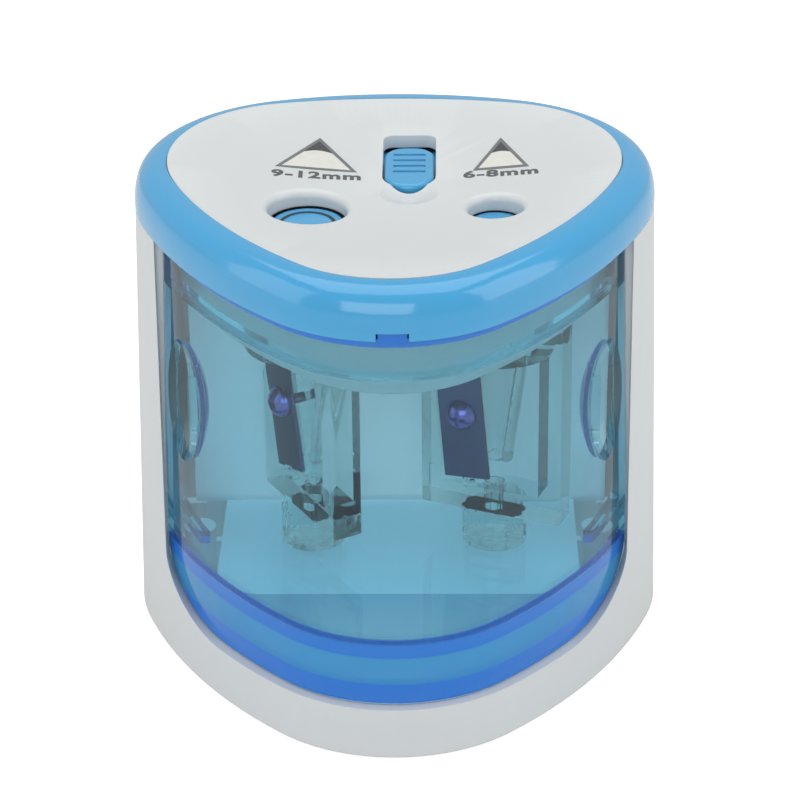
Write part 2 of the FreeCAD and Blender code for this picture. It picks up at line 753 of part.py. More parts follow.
def gear_train():
    """Motor pinion, two compound reduction gears and the two cutter gears, all in mesh."""
    motor = (value("motor_x"), value("motor_y"))
    first = (value("middle_x"), value("first_y"))
    second = (value("middle_x"), value("second_y"))
    pinion_teeth = value("pinion_teeth")
    first_small = value("first_small_teeth")
    first_large = value("first_large_teeth")
    second_small = value("second_small_teeth")
    second_large = value("second_large_teeth")
    cutter_teeth = value("cutter_teeth")
    first_turn = meshed_turn(0.0, pinion_teeth, first_large, motor, first)
    second_turn = meshed_turn(first_turn, first_small, second_large, first, second)
    pinion = [(pinion_teeth, "high_level", "high_face")]
    gear("motor_pinion", pinion, "motor_shaft", "motor_x", "motor_y", 0.0)
    gear("first_reduction_gear",
         [(first_large, "high_level", "high_face"), ("3.6", "mid_level + mid_face", 0.5),
          (first_small, "mid_level", "mid_face")],
         "1.5 + fit_gap / 3", "middle_x", "first_y", first_turn)
    gear("second_reduction_gear",
         [(second_large, "mid_level", "mid_face"), ("4.6", "low_level + low_face", 0.5),
          (second_small, "low_level", "low_face")],
         "1.5 + fit_gap / 3", "middle_x", "second_y", second_turn)
    for size in SIZES:
        at = (value(size + "_x"), value("hole_y"))
        turn = meshed_turn(second_turn, second_small, cutter_teeth, second, at)
        rim = [(cutter_teeth, "low_level", "low_face")]
        gear(size + "_cutter_gear", rim, size + "_spigot", size + "_x", "hole_y", turn)


SIZES = ("large", "small")
BLADE_LEAN = {"large": 14.0, "small": 5.0}


def gear_shafts():
    first = cylinder(1.5, "deck_rim + 0.9 - deck_level", "middle_x", "first_y", "deck_level")
    second = cylinder(1.5, "mid_level + mid_face + 0.2 - deck_level", "middle_x", "second_y", "deck_level")
    piece("first_gear_shaft", first)
    piece("second_gear_shaft", second)


def blade_carrier(size):
    """Clear frame that hangs from its gear: two beams, a blade seat and a cone guide for the pencil."""
    half = "carrier_width / 2"
    thick = "carrier_thick"
    bore = size + "_bore"
    block = centred_box("carrier_width", thick, "carrier_top - carrier_bottom", 0, 0, "carrier_bottom")
    window = centred_box("carrier_width - 7.6", 20, 26.6, 0, 0, "carrier_bottom + 4.7")
    seat_width = "carrier_thick / 2 + 1.5"
    seat = box("%s - 1.5" % half, seat_width, 26.6, "-(%s)" % half, -1.5, "carrier_bottom + 4.7")
    guide = cone(3.0, bore + " + 1.5", 24.0, 0, 0, 36.0)
    guide = cut(guide, centred_box(30, 20, 40, 0, -11.4, 30))
    flange = cone(11.0, 12.4, 4.6, 0, 0, "carrier_top - 4.6")
    spigot = cylinder(size + "_spigot", "low_level + low_face - carrier_top", 0, 0, "carrier_top")
    taper = cone(0.9, bore + " + 0.1", 25.0, 0, 0, 33.0)
    bore_hole = cylinder(bore + " + 0.1", 14, 0, 0, 58.0)
    point = cylinder(1.6, 6, 0, 0, "carrier_bottom - 0.5")
    screw_hole = cylinder(0.9, 6, blade_x(size), -2, 44, "y")
    peg_hole = cylinder(0.7, 3, -3.6, -1.9, "carrier_bottom + 5")
    peg = cut(cylinder(1.4, 2.0, -3.6, -1.9, "carrier_bottom + 4.6"), peg_hole)
    block = rounded(block, 0.6, upright)
    frame = fuse(cut(block, window), seat, guide, flange, spigot, peg)
    carrier = cut(frame, taper, bore_hole, point, screw_hole, blade_slot(size))
    return piece(size + "_blade_carrier", place(carrier, size + "_x", "hole_y", 0, value(size + "_turn")))


def blade_x(size):
    """Middle of the blade at the height of its screw."""
    return -0.3 - 11.0 * math.tan(math.radians(BLADE_LEAN[size])) - 4.0


def leaning_box(size, width, thick, length, y):
    """Box centred on the blade's middle line and leaning with the pencil cone."""
    angle = BLADE_LEAN[size]
    lean = math.radians(angle)
    x = blade_x(size) - width / 2 * math.cos(lean) + 12.0 * math.sin(lean)
    z = 44.0 - width / 2 * math.sin(lean) - 12.0 * math.cos(lean)
    return box(width, thick, length, x, y, z, -angle, (0, 1, 0))


def blade_slot(size):
    """Room in front of the seat for the leaning blade, closed at both ends."""
    return leaning_box(size, 8.3, 3.0, 28.0, -4.5)


def cutter_blade(size):
    """Steel blade that leans along the pencil's cone, with a hole for its screw."""
    blank = leaning_box(size, 8.0, 0.7, 26.0, -2.2)
    hole = cylinder(1.1, 4, blade_x(size), -4, 44, "y")
    blade = cut(blank, hole)
    return piece(size + "_blade", place(blade, size + "_x", "hole_y", 0, value(size + "_turn")))


def blade_screw(size):
    """Domed screw with a cross recess, lying along Y in the carrier's own frame."""
    x = blade_x(size)
    head = cylinder(2.7, 3.0, x, -5.2, 44, "y")
    dome = common(ball(3.2, x, -1.0, 44), head, centred_box(20, 2.9, 20, x, -3.65, 34))
    shank = cylinder(0.9, 4.2, x, -2.4, 44, "y")
    arms = fuse(centred_box(2.8, 1.2, 0.6, x, -4.2, 43.7), centred_box(0.6, 1.2, 2.8, x, -4.2, 42.6))
    screw = cut(fuse(dome, shank), arms)
    return piece(size + "_blade_screw", place(screw, size + "_x", "hole_y", 0, value(size + "_turn")))


def tip_stop(size):
    """Fluted boss under the carrier with a pin that stops the pencil point."""
    boss = cylinder("tip_boss", "carrier_bottom - boss_bottom", 0, 0, "boss_bottom")
    flutes = []
    for number in range(12):
        angle = math.radians(30.0 * number)
        flutes.append(cylinder(0.75, 12, 5.75 * math.cos(angle), 5.75 * math.sin(angle), "boss_bottom + 0.8"))
    pin = cylinder(1.6, 5.0, 0, 0, "carrier_bottom - 0.1")
    cup = cone(0.2, 1.1, 1.6, 0, 0, "carrier_bottom + 3.4")
    stop = cut(fuse(boss, pin), *flutes, cup)
    return piece(size + "_tip_stop", place(stop, size + "_x", "hole_y", 0, value(size + "_turn")))


def motor():
    """Small can motor standing under the deck: can, magnets, end bell, armature, shaft, terminals."""
    at = ("motor_x", "motor_y")
    tall = "motor_top - motor_bottom"
    can = cut(cylinder("motor_radius", tall, *at, "motor_bottom"),
              cylinder("motor_radius - 0.8", tall + " - 0.8", *at, "motor_bottom"))
    boss = cylinder(3.0, 1.2, *at, "motor_top")
    shaft_hole = cylinder("motor_shaft + 0.06", 8, *at, "motor_top - 3")
    screw_holes = [cylinder(1.0, 3, x, y, "motor_top - 2") for x, y in MOTOR_SCREWS]
    piece("motor_can", cut(fuse(can, boss), shaft_hole, *screw_holes))
    bell = cylinder("motor_radius - 0.8", 1.6, *at, "motor_bottom")
    cap = cylinder(3.0, 3.6, *at, "motor_bottom - 2.0")
    bell_hole = cylinder("motor_shaft + 0.06", 9, *at, "motor_bottom - 1.2")
    slots = [centred_box(1.2, 3.0, 6, x, "motor_y", "motor_bottom - 2") for x in TERMINALS]
    piece("motor_end_bell", cut(fuse(bell, cap), bell_hole, *slots))
    tags = [centred_box(0.5, 2.6, 5.6, x, "motor_y", "motor_bottom - 3.6") for x in TERMINALS]
    piece("motor_terminals", group(*tags))
    piece("motor_shaft", cylinder("motor_shaft", "high_level + high_face - motor_bottom + 1.1", *at,
                                  "motor_bottom - 1.1"))
    ring = cut(cylinder("motor_radius - 0.8", 22, *at, 33), cylinder("motor_radius - 2.2", 30, *at, 30))
    gap = centred_box(8, 40, 40, *at, 28)
    piece("motor_magnets", cut(ring, gap))
    core = cylinder("motor_radius - 2.6", 18, *at, 35)
    windings = cylinder("motor_radius - 4.4", 24, *at, 32)
    collector = cylinder(2.4, 4.6, *at, 27.2)
    slots = []
    for number in range(3):
        angle = math.radians(90 + 120 * number)
        slots.append(cylinder(2.2, 30, "motor_x + %.6f" % (9.2 * math.cos(angle)),
                              "motor_y + %.6f" % (9.2 * math.sin(angle)), 30))
    rotor = cut(fuse(core, windings, cylinder(2.2, 26, *at, 30), collector), *slots,
                cylinder("motor_shaft", 40, *at, 26))
    piece("motor_armature", rotor)
    screws = []
    for x, y in MOTOR_SCREWS:
        head = cylinder(1.9, 1.1, x, y, "deck_level + deck_thick")
        shank = cylinder(1.0, "deck_thick + 1.6", x, y, "deck_level - 1.6")
        screws.append(cut(fuse(head, shank), cross_recess(x, y, "deck_level + deck_thick + 0.6", 0.6)))
    piece("motor_screws", group(*screws))


TERMINALS = ("motor_x - 6.5", "motor_x + 6.5")
CELL_PITCH = 14.7
CELLS = 4


def cell_x(number):
    return "platform_left + panel + %.6f" % (CELL_PITCH * (number + 0.5))


def battery_cells():
    """Four AA cells side by side along Y, turned end for end."""
    cells = []
    for number in range(CELLS):
        length = "cell_rear - cell_front"
        can = cylinder("cell_radius", length, cell_x(number), "cell_front", "cell_level", "y")
        nub_y = "cell_front - 1.0" if number % 2 else "cell_rear - 0.1"
        nub = cylinder(2.7, 1.1, cell_x(number), nub_y, "cell_level", "y")
        edges = rounded(can, 0.5, lambda edge: edge.BoundBox.XLength > 14 and edge.BoundBox.YLength < 0.1)
        cells.append(fuse(edges, nub))
    return piece("battery_cells", group(*cells))


def battery_plates():
    """Nickel contact strips at both ends of the battery bay."""
    front = [strip(0, 1, "bay_front"), strip(2, 3, "bay_front")]
    rear_y = "platform_back - panel - 0.25"
    rear = [strip(1, 2, rear_y), strip(0, 0, rear_y), strip(3, 3, rear_y)]
    return piece("battery_plates", group(*front, *rear))


def strip(first, last, y):
    length = CELL_PITCH * (last - first) + 8.0
    x = "platform_left + panel + %.6f" % (CELL_PITCH * (first + 0.5) - 4.0)
    return box(length, 0.25, 9.0, x, y, "cell_level - 4.5")


def coil(x, y):
    """Flat contact spring facing along Y: an outer and an inner turn joined by a bar."""
    rings = []
    for radius in (3.4, 1.6):
        ring = doc.addObject("Part::Torus", "Turn")
        ring.Radius1 = radius
        ring.Radius2 = 0.3
        turn, axis = ALONG["y"]
        rings.append(place(ring, x, y, "cell_level", turn, axis))
    bar = centred_box(0.4, 0.4, 2.0, x, y, "cell_level + 1.5")
    return fuse(*rings, bar)


def battery_springs():
    """One spring at the flat end of each cell."""
    springs = []
    for number in range(CELLS):
        if number % 2:
            springs.append(coil(cell_x(number), "cell_rear + 0.7"))
        else:
            springs.append(coil(cell_x(number), "cell_front - 0.8"))
    return piece("battery_springs", group(*springs))


def wire_run(points, radius):
    """Insulated wire through a list of points, with round elbows."""
    runs = []
    for start, end in zip(points, points[1:]):
        first = FreeCAD.Vector(*start)
        way = FreeCAD.Vector(*end) - first
        tube = doc.addObject("Part::Cylinder", "Wire")
        tube.Radius = radius
        tube.Height = way.Length
        tube.Placement = FreeCAD.Placement(first, FreeCAD.Rotation(FreeCAD.Vector(0, 0, 1), way))
        runs.append(tube)
    elbows = [ball(radius, *point) for point in points[1:-1]]
    return fuse(*runs, *elbows)


def lead_wires():
    """Insulated wire from a motor tag to the interlock switch."""
    points = [(-6.15, 24.6, 20.0), (-6.15, 24.6, 18.6), (6.0, 24.6, 18.6),
              (12.0, 20.6, 18.6), (12.0, 19.3, 19.6)]
    return piece("lead_wires", wire_run(points, 0.5))


def interlock():
    """Plunger that the closed drawer presses, and the switch behind it."""
    plunger = cylinder("plunger_radius", 5.2, "plunger_x", "drawer_depth + 0.1", "plunger_level", "y")
    collar_y = "bulkhead_y + panel + 1.1"
    collar = cylinder("plunger_radius + 0.4", 0.6, "plunger_x", collar_y, "plunger_level", "y")
    piece("interlock_plunger", fuse(plunger, collar))
    body = centred_box(7, 4, 5.6, "plunger_x", 15.4, "platform_top")
    bore = cylinder("plunger_radius + fit_gap / 3", 2.6, "plunger_x", 12, "plunger_level", "y")
    tags = [centred_box(0.6, 1.4, 2.4, "plunger_x + %s" % dx, 18.0, 19.0) for dx in (-2, 2)]
    piece("interlock_switch", fuse(cut(body, bore), *tags))


def power_switch_leaves():
    """Pair of brass leaves on the gear cover that the slider presses together."""
    low = box(9, 2.6, 0.3, 10, 19.0, "deck_rim + 1.0")
    high = box(9, 2.6, 0.3, 10, 19.0, "deck_rim + 1.9")
    holder = box(2.4, 2.6, 0.6, 16.6, 19.0, "deck_rim + 1.3")
    return piece("power_switch_leaves", fuse(low, high, holder))


outer_shell()
base_plate()
rubber_feet()
base_screws()
battery_door()
inner_chassis()
gear_deck()
deck_screws()
gear_cover()
top_collar()
top_plate()
thumb_slider()
safety_shutter()
shutter_pivot_screw()
shavings_drawer()
gear_train()
gear_shafts()
for cutter_size in SIZES:
    blade_carrier(cutter_size)
    cutter_blade(cutter_size)
    blade_screw(cutter_size)
    tip_stop(cutter_size)
motor()
battery_cells()
battery_plates()
battery_springs()
lead_wires()
interlock()
power_switch_leaves()
doc.recompute()

for thing in doc.Objects:
    if "Invalid" in thing.State or "Error" in thing.State:
        raise RuntimeError("%s (%s) failed: %s" % (thing.Name, thing.Label, thing.State))
for label, thing in PIECES.items():
    if thing.Shape.isNull() or not thing.Shape.isValid() or not thing.Shape.Solids:
        raise RuntimeError("bad shape: " + label)

os.makedirs("parts", exist_ok=True)
for label, thing in PIECES.items():
    thing.Shape.exportStep("parts/%s.step" % label)
    print("%-24s solids %d volume %.1f" % (label, len(thing.Shape.Solids), thing.Shape.Volume))
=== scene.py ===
import json
import math

import bpy
from mathutils import Matrix, Vector


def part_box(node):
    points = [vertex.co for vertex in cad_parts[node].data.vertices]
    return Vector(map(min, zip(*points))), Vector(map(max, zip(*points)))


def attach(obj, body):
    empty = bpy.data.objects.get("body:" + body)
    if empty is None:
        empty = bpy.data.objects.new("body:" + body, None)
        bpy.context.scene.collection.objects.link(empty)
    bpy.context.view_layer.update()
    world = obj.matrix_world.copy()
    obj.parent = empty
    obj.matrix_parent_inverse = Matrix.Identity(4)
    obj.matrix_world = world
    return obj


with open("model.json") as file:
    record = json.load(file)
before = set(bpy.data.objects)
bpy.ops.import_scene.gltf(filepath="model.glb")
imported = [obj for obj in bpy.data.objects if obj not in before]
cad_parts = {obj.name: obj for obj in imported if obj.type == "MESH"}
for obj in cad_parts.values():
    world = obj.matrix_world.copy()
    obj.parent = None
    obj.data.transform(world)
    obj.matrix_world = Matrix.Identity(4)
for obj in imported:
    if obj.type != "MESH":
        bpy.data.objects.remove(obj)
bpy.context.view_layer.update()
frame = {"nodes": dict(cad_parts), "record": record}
NODES = frame["nodes"]
MM = 0.001
SMOOTH_ANGLE = math.radians(28)

# Camera: stands in front of the drawer and looks down on the top plate.
TARGET = Vector((0.73, 0.0, 43.66)) * MM
AZIMUTH = math.radians(0.9)
PITCH = math.radians(28.0)
ROLL = math.radians(-0.55)
DISTANCE = 584.4 * MM
LENS = 153.4


# ---------- materials ----------

class Shader:
    """A node material whose nodes are added one after another."""

    def __init__(self, name):
        self.material = bpy.data.materials.new(name)
        self.material.use_nodes = True
        self.tree = self.material.node_tree
        self.surface = self.tree.nodes["Principled BSDF"]
        self.output = self.tree.nodes["Material Output"]
        self.place = self.tree.nodes.new("ShaderNodeTexCoord").outputs["Object"]

    def link(self, source, target):
        self.tree.links.new(source, target)

    def set(self, **values):
        for name, value in values.items():
            self.surface.inputs[name.replace("_", " ")].default_value = value

    def add(self, kind, **values):
        node = self.tree.nodes.new(kind)
        for name, value in values.items():
            node.inputs[name.replace("_", " ")].default_value = value
        return node

    def noise(self, scale, detail=3.0, stretch=None):
        """Noise in object space; scale is in waves per metre."""
        node = self.add("ShaderNodeTexNoise", Scale=scale, Detail=detail)
        source = self.place
        if stretch:
            mapping = self.add("ShaderNodeMapping", Scale=stretch)
            self.link(source, mapping.inputs["Vector"])
            source = mapping.outputs["Vector"]
        self.link(source, node.inputs["Vector"])
        return node.outputs["Fac"]

    def between(self, amount, low, high, start=0.0, end=1.0):
        """Number that runs from low to high as amount runs from start to end."""
        node = self.add("ShaderNodeMapRange")
        limits = {"From Min": start, "From Max": end, "To Min": low, "To Max": high}
        for label, limit in limits.items():
            node.inputs[label].default_value = limit
        self.link(amount, node.inputs["Value"])
        return node.outputs["Result"]

    def blend(self, amount, first, second):
        """Colour between two colours."""
        node = self.tree.nodes.new("ShaderNodeMix")
        node.data_type = "RGBA"
        self.link(amount, node.inputs["Factor"])
        for socket, colour in (("A", first), ("B", second)):
            slot = [s for s in node.inputs if s.name == socket and s.type == "RGBA"][0]
            if isinstance(colour, tuple):
                slot.default_value = (*colour, 1.0)
            else:
                self.link(colour, slot)
        return [s for s in node.outputs if s.type == "RGBA"][0]

    def maths(self, kind, first, second):
        """Result of one sum; each part is an output or a plain number."""
        node = self.tree.nodes.new("ShaderNodeMath")
        node.operation = kind
        for slot, part in enumerate((first, second)):
            if isinstance(part, float):
                node.inputs[slot].default_value = part
            else:
                self.link(part, node.inputs[slot])
        return node.outputs["Value"]

    def along(self, axis, vector):
        """One coordinate of a vector."""
        node = self.tree.nodes.new("ShaderNodeSeparateXYZ")
        self.link(vector, node.inputs["Vector"])
        return node.outputs[axis]

    def geometry(self, part):
        """One output of the surface's geometry, such as its normal."""
        return self.tree.nodes.new("ShaderNodeNewGeometry").outputs[part]

    def upward(self):
        """Vertical part of the surface's normal."""
        return self.along("Z", self.geometry("Normal"))

    def layered(self, share, under, over):
        """One shader over another; share is how much of the upper one shows."""
        node = self.tree.nodes.new("ShaderNodeMixShader")
        self.link(share, node.inputs["Fac"])
        self.link(under, node.inputs[1])
        self.link(over, node.inputs[2])
        return node.outputs["Shader"]

    def edges(self, low=0.48, high=0.56):
        """Mask of outer edges, from the mesh's pointiness."""
        return self.between(self.geometry("Pointiness"), 0.0, 1.0, low, high)

    def relief(self, height, depth, round_edges=0.0):
        """Bump of a given depth in metres, over rounded edges of a given radius."""
        bump = self.add("ShaderNodeBump", Strength=1.0, Distance=depth)
        self.link(height, bump.inputs["Height"])
        if round_edges:
            bevel = self.add("ShaderNodeBevel", Radius=round_edges)
            bevel.samples = 4
            self.link(bevel.outputs["Normal"], bump.inputs["Normal"])
        self.link(bump.outputs["Normal"], self.surface.inputs["Normal"])

    def done(self):
        return self.material


def tint(colour, factor):
    return tuple(min(1.0, c * factor) for c in colour)


LEVEL_NORMAL = 0.7
WALL_LIGHT = 0.1


def moulded(name, colour, rough, grain=6e-6, round_edges=2.5e-4, coat=0.0, glow=0.0, lit=0.0):
    """Moulded plastic: faint mottling, uneven gloss, fine orange peel and a painted highlight on outer edges.

    glow is the share of light scattered inside; lit is the light that level surfaces give off themselves.
    """
    s = Shader(name)
    patches = s.noise(45.0, 4.0)
    body = s.blend(patches, tint(colour, 0.965), tint(colour, 1.03))
    # Outer edges are painted lighter: a painted highlight where rounded edges catch the light.
    tone_and_edge_highlight = s.blend(s.edges(), body, tint(colour, 1.07))
    s.link(tone_and_edge_highlight, s.surface.inputs["Base Color"])
    s.link(s.between(s.noise(160.0, 5.0), rough * 0.82, rough * 1.2), s.surface.inputs["Roughness"])
    s.relief(s.noise(1800.0, 2.0), grain, round_edges)
    s.set(IOR=1.5, Coat_Weight=coat, Coat_Roughness=0.06, Subsurface_Weight=glow)
    if lit:
        level = s.maths("GREATER_THAN", s.upward(), LEVEL_NORMAL)
        s.set(Emission_Color=(*colour, 1.0))
        s.link(s.between(level, lit * WALL_LIGHT, lit), s.surface.inputs["Emission Strength"])
    if glow:
        s.surface.inputs["Subsurface Radius"].default_value = (0.0016, 0.0017, 0.0018)
        s.surface.inputs["Subsurface Scale"].default_value = 1.0
    return s.done()


# Painted light and shade on the drawer: deep blue that stands in for light seen end-on through thick plastic
# and for the shaded floor seen through it, in place of the light's own path. Heights in the stops are in
# millimetres, with a colour and a cover.
PAINTED_EDGE_BLUE = (0.015, 0.120, 0.640)
PAINTED_DEEP_BLUE = (0.000, 0.165, 0.640)
PAINTED_PALE_BLUE = (0.020, 0.300, 0.640)
BAND_RANGE = (9.0 * MM, 22.0 * MM)
TOP_EDGE = 75.0 * MM
TOP_COVER = 0.9
FRONT_LIMIT = -2.0 * MM
WALL_NORMAL = 0.6
GLANCING_RANGE = (0.64, 0.95)
GLANCING_COVER = 0.85
BAND_STOPS = (
    (9.0, PAINTED_DEEP_BLUE, 0.96), (13.3, PAINTED_DEEP_BLUE, 0.96), (13.8, PAINTED_PALE_BLUE, 0.72), (18.2, PAINTED_PALE_BLUE, 0.72),
    (18.6, PAINTED_DEEP_BLUE, 0.93), (20.8, PAINTED_DEEP_BLUE, 0.93), (21.2, PAINTED_PALE_BLUE, 0.10), (22.0, PAINTED_DEEP_BLUE, 0.0),
)


def painted_band_ramp(s, height):
    """Colour and cover of the painted blue bands, by height above the table."""
    ramp = s.tree.nodes.new("ShaderNodeValToRGB")
    low, high = (edge / MM for edge in BAND_RANGE)
    stops = ramp.color_ramp.elements
    while len(stops) < len(BAND_STOPS):
        stops.new(0.5)
    for stop, (level, colour, cover) in zip(stops, BAND_STOPS):
        stop.position = (level - low) / (high - low)
        stop.color = (*colour, cover)
    s.link(s.between(height, 0.0, 1.0, *BAND_RANGE), ramp.inputs["Fac"])
    return ramp


def painted_edge_light(s):
    """Lays painted deep blue over clear plastic, standing in for light seen end-on through thick plastic and
    for shade seen through it: at glancing angles, in two low bands and along the top edge.
    """
    facing = s.add("ShaderNodeLayerWeight", Blend=0.5).outputs["Facing"]
    glancing = s.between(facing, 0.0, GLANCING_COVER, *GLANCING_RANGE)
    height = s.along("Z", s.place)
    ramp = painted_band_ramp(s, height)
    wall = s.maths("LESS_THAN", s.maths("ABSOLUTE", s.upward(), 0.0), WALL_NORMAL)
    band = s.maths("MULTIPLY", ramp.outputs["Alpha"], wall)
    top_edge = s.maths("MULTIPLY", s.maths("GREATER_THAN", height, TOP_EDGE), TOP_COVER)
    cover = s.maths("MAXIMUM", s.maths("MAXIMUM", band, top_edge), glancing)
    in_front = s.maths("LESS_THAN", s.along("Y", s.place), FRONT_LIMIT)
    # Opaque painted blue laid over the glass: painted light and shade, not the plastic's own colour.
    painted_blue = s.add("ShaderNodeBsdfPrincipled", Roughness=0.12, Coat_Weight=0.5)
    s.link(s.blend(glancing, ramp.outputs["Color"], PAINTED_EDGE_BLUE), painted_blue.inputs["Base Color"])
    return s.layered(s.maths("MULTIPLY", cover, in_front), s.surface.outputs["BSDF"], painted_blue.outputs["BSDF"])


def clear(name, colour, absorb, density, rough=0.03, ripple=4e-6, paint_edge_light=False):
    """Clear plastic: long paths inside it deepen the colour, and lamps shine through it.

    It can also take painted deep blue on its edges and low bands, standing in for light seen end-on through
    thick plastic.
    """
    s = Shader(name)
    s.set(Transmission_Weight=1.0, IOR=1.12, Coat_Weight=0.8, Coat_IOR=1.5, Coat_Roughness=0.03)
    s.link(s.blend(s.noise(60.0), tint(colour, 0.985), colour), s.surface.inputs["Base Color"])
    s.link(s.between(s.noise(220.0, 5.0), rough * 0.6, rough * 1.6), s.surface.inputs["Roughness"])
    s.relief(s.noise(260.0, 2.0), ripple)
    path = s.tree.nodes.new("ShaderNodeLightPath")
    pass_light = s.add("ShaderNodeBsdfTransparent")
    pass_light.inputs["Color"].default_value = (*tint(colour, 0.97), 1.0)
    seen = painted_edge_light(s) if paint_edge_light else s.surface.outputs["BSDF"]
    through = s.layered(path.outputs["Is Shadow Ray"], seen, pass_light.outputs["BSDF"])
    s.link(through, s.output.inputs["Surface"])
    inside = s.add("ShaderNodeVolumeAbsorption", Density=density)
    inside.inputs["Color"].default_value = (*absorb, 1.0)
    s.link(inside.outputs["Volume"], s.output.inputs["Volume"])
    return s.done()


def metal(name, colour, rough, stretch=(1.0, 1.0, 1.0), scratch=3e-6):
    """Metal with drawn lines, uneven polish and a little tarnish."""
    s = Shader(name)
    lines = s.noise(900.0, 6.0, stretch)
    s.link(s.blend(s.noise(120.0), tint(colour, 0.86), tint(colour, 1.06)), s.surface.inputs["Base Color"])
    s.link(s.between(lines, rough * 0.7, rough * 1.35), s.surface.inputs["Roughness"])
    s.relief(lines, scratch, 1.2e-4)
    s.set(Metallic=1.0)
    return s.done()


def rubber(name, colour):
    s = Shader(name)
    s.link(s.blend(s.noise(300.0), colour, tint(colour, 1.5)), s.surface.inputs["Base Color"])
    s.link(s.between(s.noise(500.0), 0.65, 0.9), s.surface.inputs["Roughness"])
    s.relief(s.noise(2500.0, 4.0), 3e-5, 2e-4)
    return s.done()


SLEEVE_DARK = (0.015, 0.03, 0.045)
SLEEVE_SILVER = (0.55, 0.56, 0.58)
SILVER_FROM = 18.0 * MM


def cell_sleeve(name):
    """Battery sleeve: dark print with a silver band towards one end."""
    s = Shader(name)
    band = s.maths("GREATER_THAN", s.along("Y", s.place), SILVER_FROM)
    s.link(s.blend(band, SLEEVE_DARK, SLEEVE_SILVER), s.surface.inputs["Base Color"])
    s.link(s.between(s.noise(300.0), 0.22, 0.34), s.surface.inputs["Roughness"])
    s.relief(s.noise(1500.0), 4e-6, 2e-4)
    s.set(Metallic=0.35)
    return s.done()


def copper_windings(name):
    """Copper wire wound round the armature: fine ridges over a lacquered copper colour."""
    s = Shader(name)
    lacquer = s.blend(s.noise(800.0, 2.0), (0.45, 0.16, 0.07), (0.80, 0.38, 0.18))
    s.link(lacquer, s.surface.inputs["Base Color"])
    s.link(s.between(s.noise(700.0), 0.25, 0.42), s.surface.inputs["Roughness"])
    wires = s.add("ShaderNodeTexWave", Scale=900.0)
    s.link(s.place, wires.inputs["Vector"])
    s.relief(wires.outputs["Fac"], 4e-5)
    s.set(Metallic=0.9)
    return s.done()


WHITE = (0.60, 0.625, 0.63)
SKY = (0.045, 0.345, 0.64)

FINISH = {
    "white_body": moulded("white_body", WHITE, 0.30, coat=0.15, glow=0.12),
    # white_inner is a lighter copy of the white plastic whose level surfaces glow: painted light that
    # brightens the parts inside.
    "white_inner": moulded("white_inner", (0.74, 0.77, 0.78), 0.42, glow=0.1, lit=0.36),
    "pale_cover": moulded("pale_cover", (0.36, 0.41, 0.42), 0.42, glow=0.1),
    "white_top": moulded("white_top", (0.635, 0.66, 0.66), 0.33, coat=0.10, glow=0.12),
    "blue_gloss": moulded("blue_gloss", SKY, 0.16, grain=3e-6, coat=0.6, glow=0.08),
    # The drawer's clear plastic gets painted deep blue edges and bands that stand in for light through thick
    # plastic.
    "clear_blue": clear("clear_blue", (0.96, 0.985, 0.99), (0.03, 0.74, 0.92), 215.0, paint_edge_light=True),
    "clear_plastic": clear("clear_plastic", (0.97, 0.99, 0.985), (0.62, 0.82, 0.80), 60.0, 0.06, 1.2e-5),
    "gear_nylon": moulded("gear_nylon", (0.80, 0.79, 0.74), 0.38, glow=0.15),
    "black_nylon": moulded("black_nylon", (0.03, 0.03, 0.032), 0.45),
    "blade_steel": metal("blade_steel", (0.085, 0.10, 0.19), 0.38, (1.0, 1.0, 0.08)),
    "screw_chrome": metal("screw_chrome", (0.20, 0.15, 0.42), 0.2),
    "bright_steel": metal("bright_steel", (0.60, 0.61, 0.63), 0.24),
    "motor_zinc": metal("motor_zinc", (0.55, 0.56, 0.58), 0.32, (1.0, 1.0, 0.1)),
    "copper_core": copper_windings("copper_core"),
    "dark_ferrite": moulded("dark_ferrite", (0.05, 0.05, 0.055), 0.6, grain=2e-5),
    "pinion_brass": metal("pinion_brass", (0.72, 0.52, 0.20), 0.22),
    "cell_sleeve": cell_sleeve("cell_sleeve"),
    "wire_red": moulded("wire_red", (0.50, 0.03, 0.02), 0.35),
    "foot_rubber": rubber("foot_rubber", (0.02, 0.02, 0.02)),
}

# Nodes whose finish differs from their material slot's.
# base_plate takes the glowing white_inner finish: painted light on its level top.
INNER_FINISH = {"gear_cover": "pale_cover", "gear_deck": "pale_cover", "base_plate": "white_inner"}


def dress_cad_nodes():
    """Gives every CAD node its finish and smooth normals across shallow angles."""
    slots = {part["node"]: part["material_slot"] for part in frame["record"]["subparts"]}
    for name, thing in NODES.items():
        thing.data.materials.clear()
        thing.data.materials.append(FINISH[INNER_FINISH.get(name, slots[name])])
        for face in thing.data.polygons:
            face.use_smooth = True
        sharp = thing.modifiers.new("hard_edges", "EDGE_SPLIT")
        sharp.split_angle = SMOOTH_ANGLE


# ---------- printed marks on the top plate ----------

# All in millimetres. The ink's underside and top are measured from the plate's surface.
DISH_RADIUS = 333.0
DISH_LEVEL = 82.26
DISH_Y = 5.83
INK_LOW = -0.05
INK_HIGH = 0.05
FRAME_WIDTH = 0.62
RING_CENTRE = (-14.2, -5.7)
RING_RADII = (4.15, 4.75)
RING_LIFT = 0.01
RING_THICK = 0.06
RING_STEPS = 96


def plate_height(x, y):
    """Height of the dished top plate, in millimetres."""
    away = x * x + (y - DISH_Y) ** 2
    return DISH_LEVEL + DISH_RADIUS - math.sqrt(DISH_RADIUS ** 2 - away)


def ink(name, colour, rough=0.5):
    s = Shader(name)
    tone_and_edge_highlight = s.blend(s.noise(900.0, 4.0), tint(colour, 0.9), tint(colour, 1.12))
    s.link(tone_and_edge_highlight, s.surface.inputs["Base Color"])
    s.link(s.between(s.noise(1200.0), rough * 0.85, rough * 1.15), s.surface.inputs["Roughness"])
    s.relief(s.noise(4000.0), 4e-6)
    return s.done()


